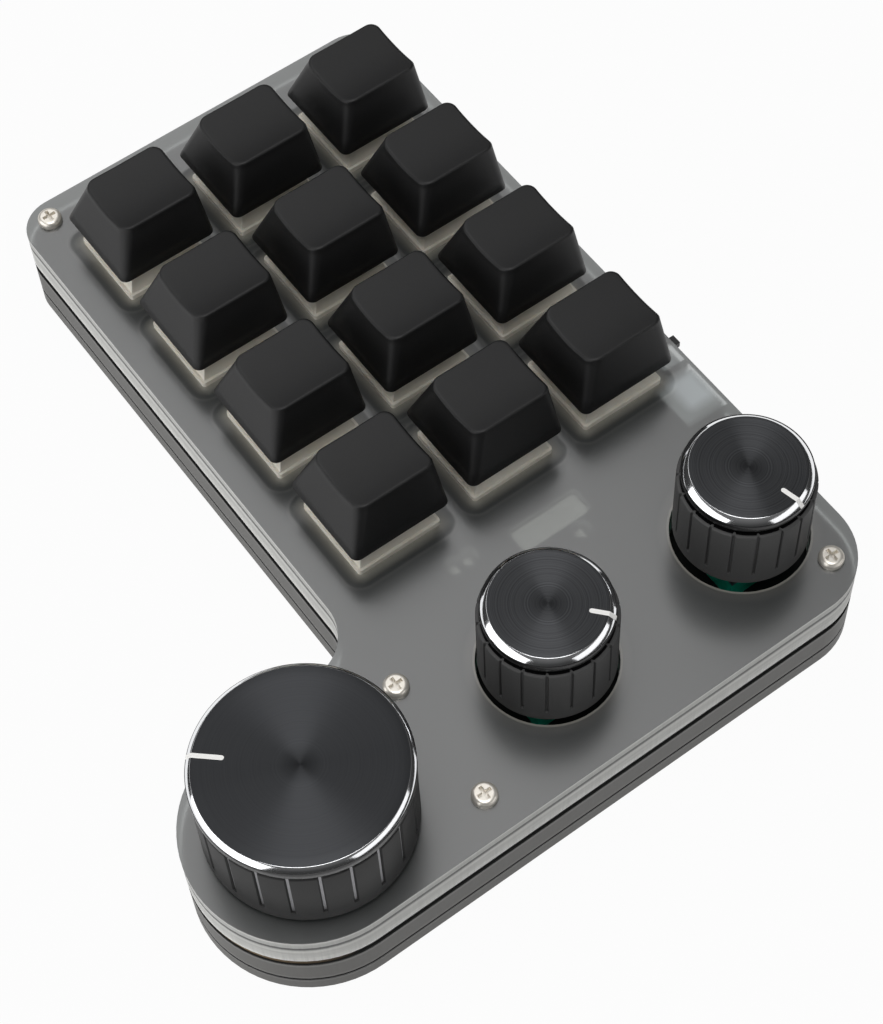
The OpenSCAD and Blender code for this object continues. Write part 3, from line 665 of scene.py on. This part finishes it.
LEVELS = [level_plan(CAP_H * step / LEVEL_COUNT) for step in range(LEVEL_COUNT + 1)]


def side_point(height, i):
    """Point i of the cap's outline at any height."""
    at = max(0.0, min(LEVEL_COUNT - 0.001, height / CAP_H * LEVEL_COUNT))
    step = int(at)
    return LEVELS[step][i].lerp(LEVELS[step + 1][i], at - step)


def dish(x):
    """Height of the cap's dished top at x."""
    return CAP_H - CAP_DISH * max(0.0, 1 - (x / (CAP_TOP_W / 2)) ** 2)


def cap_rows():
    """Rows of points from the roof inside a cap, round its skirt, to the middle of its dish."""
    rows = [[(p.x, p.y, height) for p in level_plan(height, inset)] for height, inset in (
        (CAP_ROOM, CAP_WALL), (CAP_ROOM * 0.5, CAP_WALL), (CAP_BEVEL_H, CAP_WALL),
        (0.0, CAP_WALL - CAP_BEVEL_IN), (0.0, CAP_BEVEL_IN), (CAP_BEVEL_H, 0.0))]
    # heights at which the sides turn into the rounded edge of the top, evened out
    crown = []
    for i in range(len(LEVELS[0])):
        step = LEVEL_COUNT
        while step > 0 and CAP_H * step / LEVEL_COUNT > dish(LEVELS[step][i].x) - CAP_EDGE_R:
            step -= 1
        crown.append(CAP_H * step / LEVEL_COUNT)
    crown = [sum(crown[(i + k) % len(crown)] for k in (-1, 0, 1)) / 3 for i in range(len(crown))]
    for share in (0.25, 0.5, 0.75, 0.92, 1.0):
        heights = [CAP_BEVEL_H + (top - CAP_BEVEL_H) * share for top in crown]
        rows.append([(*side_point(height, i), height) for i, height in enumerate(heights)])
    # over the rounded edge
    middle = Vector((0, CAP_TOP_SHIFT))
    for turn in (20, 40, 60, 80):
        a = math.radians(turn)
        points = []
        for i, top in enumerate(crown):
            side = side_point(top, i)
            p = side + (middle - side).normalized() * CAP_EDGE_R * (1 - math.cos(a))
            points.append((p.x, p.y, top + (dish(p.x) - top) * math.sin(a)))
        rows.append(points)
    # across the dish
    rim = [Vector(p[:2]) for p in rows[-1]]
    for share in (0.97, 0.9, 0.78, 0.64, 0.5, 0.36, 0.22, 0.1):
        points = [middle + (p - middle) * share for p in rim]
        rows.append([(p.x, p.y, dish(p.x)) for p in points])
    return rows


CAP_ROWS = cap_rows()


def keycap(column, row):
    """Hollow keycap, tapered and leaning back, with a dished top."""
    name = f"keycap_{column}_{row}"
    foot = underside(name)
    mesh = bmesh.new()
    made, _ = skin(mesh, [[Vector(p) + foot for p in points] for points in CAP_ROWS])
    fan(mesh, made[0][::-1], foot + Vector((0, CAP_TOP_SHIFT * CAP_ROOM / CAP_H, CAP_ROOM)))
    fan(mesh, made[-1], foot + Vector((0, CAP_TOP_SHIFT, dish(0))))
    for face in mesh.faces:
        face.smooth = True
    bmesh.ops.recalc_face_normals(mesh, faces=mesh.faces)
    made = piece(f"cap_{column}_{row}", mesh, f"key_{column}_{row}", ["cap_plastic"])
    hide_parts(name)


for c, r in KEYS:
    keycap(c, r)

# ---------------------------------------------------------------- knobs
FACE, SKIRT, BRIGHT, FLUTE, GLOSS = range(5)  # places of a knob's finishes


def arc(centre, radius, start, end, steps):
    """Points of a rounded edge in a knob's half section."""
    turns = (math.radians(start + (end - start) * i / steps) for i in range(steps + 1))
    return [(centre[0] + radius * math.cos(a), centre[1] + radius * math.sin(a)) for a in turns]


def knob_section(form, hub_top):
    """Half section of a knob, from the roof of its hollow round the skirt to the middle of its
    top: radius, height, finish of the band above the point, and whether flutes cut it."""
    skirt_r, ring_r, height = form.skirt_r, form.ring_r, form.height
    ring_z = height - COLLAR_H
    skirt_z = ring_z - NECK_H
    neck_r = ring_r - NECK_IN
    # hollow and skirt
    section = [(HUB_R, hub_top, SKIRT, False), (HUB_R, HUB_BEVEL, SKIRT, False),
               (HUB_R + HUB_BEVEL, 0, SKIRT, False)]
    section += [(r, z, SKIRT, False) for r, z in arc(
        (skirt_r - SKIRT_FOOT_R, SKIRT_FOOT_R), SKIRT_FOOT_R, -90, 0, 4)]
    section += [(skirt_r, FLUTE_RIM - 0.02, SKIRT, False), (skirt_r, FLUTE_RIM, SKIRT, True),
                (skirt_r, skirt_z * 0.6, SKIRT, True)]
    section += [(r, z, SKIRT, True) for r, z in arc(
        (skirt_r - SKIRT_TOP_R, skirt_z - SKIRT_TOP_R), SKIRT_TOP_R, 0, 90, 4)]
    # neck and collar
    section += [(skirt_r - 0.5, skirt_z, GLOSS, True), (neck_r, skirt_z, GLOSS, False),
                (neck_r, ring_z, GLOSS, False)]
    section += [(r, z, GLOSS, False) for r, z in arc(
        (ring_r - COLLAR_R, ring_z + COLLAR_R), COLLAR_R, -90, 0, 2)]
    # chamfer: black at first, then a band cut bright at 45 degrees up to the face
    inner_r, bright = ring_r - form.cut_in, min(form.cut_in, form.cut_h) - 0.05
    section += [(ring_r, height - form.cut_h, GLOSS, False),
                (ring_r - 0.02, height - form.cut_h + 0.05, GLOSS, False),
                (inner_r + bright - 0.03, height - bright - 0.03, GLOSS, False),
                (inner_r + bright - 0.06, height - bright + 0.02, BRIGHT, False),
                (inner_r + 0.02, height - 0.02, BRIGHT, False),
                (inner_r - 0.03, height, FACE, False)]
    return section + [(ring_r * share, height, FACE, False)
                      for share in (0.85, 0.7, 0.5, 0.3, 0.15, 0.04)]


def flute_angles(form):
    """Angles of the corners round a knob, in radians, and whether each lies in a flute."""
    half = math.degrees(FLUTE_SHARE / 2)
    soft = half * 0.35
    pitch = 360 / form.flutes
    rest = pitch - 2 * (half + soft)
    marks = [-half - soft, -half, -half * 0.5, half * 0.5, half]
    marks += [half + soft + rest * i / 5 for i in range(5)]
    return [(math.radians(form.pointer + pitch * (n + form.to_flute) + mark),
             abs(mark) < half * 0.9) for n in range(form.flutes) for mark in marks]


def knob(kind):
    """Turned knob with milled flutes, a bright ring and a faced top, and its pointer."""
    name, form = "knob_" + kind, KNOB_FORM[kind]
    axis = underside(name)
    hub_top = BOARD_TOP + HUB_TOP - axis.z
    section, angles = knob_section(form, hub_top), flute_angles(form)
    rows = []
    for radius, z, _, fluted in section:
        rows.append([])
        for a, inside in angles:
            r = radius - (FLUTE_DEPTH if fluted and inside else 0.0)
            rows[-1].append(axis + Vector((r * math.cos(a), r * math.sin(a), z)))
    mesh = bmesh.new()
    made, faces = skin(mesh, rows)
    count = len(angles)
    for i, face in enumerate(faces):
        lower, upper = section[i // count], section[i // count + 1]
        milled = lower[3] and upper[3] and angles[i % count][1] and angles[(i + 1) % count][1]
        face.material_index = FLUTE if milled else lower[2]
    for ring, z, finish in ((made[-1], form.height, FACE), (made[0][::-1], hub_top, SKIRT)):
        for face in fan(mesh, ring, axis + Vector((0, 0, z))):
            face.material_index = finish
    uv = mesh.loops.layers.uv.new("rings")
    for face in mesh.faces:
        face.smooth = True
        for loop in face.loops:
            loop[uv].uv = ((loop.vert.co - axis).xy.length, form.ring_r)
    bmesh.ops.recalc_face_normals(mesh, faces=mesh.faces)
    for edge in mesh.edges:
        if len(edge.link_faces) == 2 and edge.calc_face_angle(0) > math.radians(32):
            edge.smooth = False
    finishes = (["spun_top", "dark_anodised", "bright_cut", "flute_metal"] if kind == "large" else
                ["fine_spun_top", "anodised", "bright_cut", "anodised"])
    made = piece("body_" + name, mesh, name, finishes + ["gloss_black"])
    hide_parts(name)
    pointer_bar(kind, axis, form)


def pointer_bar(kind, axis, form):
    """Bar of paint with a rounded inner end, from the top face out over the bright ring."""
    half, start = POINTER_W / 2, form.start * form.ring_r
    angle = math.radians(form.pointer)
    along = Vector((math.cos(angle), math.sin(angle), 0))
    across = Vector((-along.y, along.x, 0))
    up = Vector((0, 0, 1))
    brow, inner_r = form.height - form.cut_h, form.ring_r - form.cut_in
    plan = [(form.ring_r, -half, brow), (inner_r, -half, form.height)]
    for i in range(9):
        a = math.radians(270 - 180 * i / 8)
        plan.append((start + half + half * math.cos(a), half * math.sin(a), form.height))
    plan += [(inner_r, half, form.height), (form.ring_r, half, brow)]
    mesh = bmesh.new()
    rows = []
    for drop in (POINTER_SINK, -POINTER_LIFT):
        rows.append([mesh.verts.new(axis + along * (u + 0.01) + across * v + up * (z - drop))
                     for u, v, z in plan])
    for row in rows:
        mesh.faces.new(row[1:-1])
        mesh.faces.new((row[0], row[1], row[-2], row[-1]))
    for i in range(len(plan)):
        j = (i + 1) % len(plan)
        mesh.faces.new((rows[0][i], rows[0][j], rows[1][j], rows[1][i]))
    bmesh.ops.recalc_face_normals(mesh, faces=mesh.faces)
    piece("pointer_" + kind, mesh, "knob_" + kind, ["pointer_paint"])


for kind in KNOBS:
    knob(kind)

# ---------------------------------------------------------------- floor, light and camera
FLOOR_HALF = 12.0
FLOOR_WHITE = 0.965  # share of plain white in the card as the camera sees it


def pale_floor(tree):
    """White card, seen as white and still holding the object's soft shadow."""
    fleck = grain(tree, 3.0)
    card = add(tree, "ShaderNodeBsdfDiffuse",
               {"Color": between(tree, fleck, "#9c9c9c", "#a2a2a2")}).outputs[0]
    white = add(tree, "ShaderNodeEmission", {"Color": linear("#ffffff")}).outputs[0]
    path = add(tree, "ShaderNodeLightPath")
    seen = path.outputs["Is Camera Ray"]
    for ray in ("Is Glossy Ray", "Is Transmission Ray"):
        seen = add(tree, "ShaderNodeMath", {0: seen, 1: path.outputs[ray]},
                   operation="MAXIMUM").outputs[0]
    share = add(tree, "ShaderNodeMath", {0: seen, 1: FLOOR_WHITE}, operation="MULTIPLY").outputs[0]
    return add(tree, "ShaderNodeMixShader", {0: share, 1: card, 2: white}).outputs[0]


floor_mesh = bmesh.new()
bmesh.ops.create_grid(floor_mesh, x_segments=2, y_segments=2, size=FLOOR_HALF)
floor_data = bpy.data.meshes.new("floor")
floor_mesh.to_mesh(floor_data)
floor_mesh.free()
floor_data.materials.append(finish_from("pale_card", pale_floor))
floor = bpy.data.objects.new("floor", floor_data)
bpy.context.scene.collection.objects.link(floor)

world = bpy.data.worlds.new("studio")
bpy.context.scene.world = world
world.use_nodes = True
world.node_tree.nodes.clear()
tree = world.node_tree
upward = add(tree, "ShaderNodeSeparateXYZ", {
    0: add(tree, "ShaderNodeTexCoord").outputs["Generated"]}).outputs["Z"]
sky = ramp(tree, upward, ((0.0, "#303030"), (0.35, "#3c3c3c"), (1.0, "#808080")))
add(tree, "ShaderNodeOutputWorld", {
    "Surface": add(tree, "ShaderNodeBackground", {"Color": sky}).outputs[0]})


def facing(azimuth, elevation):
    """Direction from the object towards an azimuth from +X and an elevation, in degrees."""
    a, e = math.radians(azimuth), math.radians(elevation)
    return Vector((math.cos(a) * math.cos(e), math.sin(a) * math.cos(e), math.sin(e)))


def softbox(name, azimuth, elevation, far, size, level):
    """Rectangular studio softbox far metres from the object, as bright as a white sheet times
    its level."""
    data = bpy.data.lights.new(name, "AREA")
    data.shape, data.size, data.size_y = "RECTANGLE", size[0], size[1]
    data.energy = level * math.pi * size[0] * size[1]
    lamp = bpy.data.objects.new(name, data)
    bpy.context.scene.collection.objects.link(lamp)
    lamp.location = far * facing(azimuth, elevation)
    lamp.rotation_mode = "QUATERNION"
    lamp.rotation_quaternion = (-lamp.location).to_track_quat("-Z", "Y")


softbox("back_top", 174, 60, 1.2, (1.1, 1.1), 1.08)
softbox("overhead", -33, 78, 1.2, (0.7, 0.7), 3.6)
softbox("left", 262, 21, 1.1, (1.45, 0.75), 1.9)
softbox("right", 29, 24, 1.1, (1.15, 0.4), 1.1)

# the camera's direction from the object, its roll in degrees, and its place in millimetres
# from the underside of the first keycap
CAMERA_AZIMUTH, CAMERA_ELEVATION, CAMERA_ROLL = -33.00027, 58.67947, -3.57354
CAMERA_PLACE = Vector((237.5926, -98.4077, 317.6823))

camera_data = bpy.data.cameras.new("camera")
camera_data.sensor_width, camera_data.lens = 36.0, 85.196
camera_data.clip_start, camera_data.clip_end = 0.01, 20.0
camera = bpy.data.objects.new("camera", camera_data)
bpy.context.scene.collection.objects.link(camera)
camera.location = (FIRST_KEY + CAMERA_PLACE) * MM
camera.rotation_mode = "QUATERNION"
aim = (-facing(CAMERA_AZIMUTH, CAMERA_ELEVATION)).to_track_quat("-Z", "Y")
roll = Matrix.Rotation(math.radians(CAMERA_ROLL), 4, "Z").to_quaternion()
camera.rotation_quaternion = aim @ roll
bpy.context.scene.camera = camera

bpy.context.scene.view_settings.view_transform = "Standard"
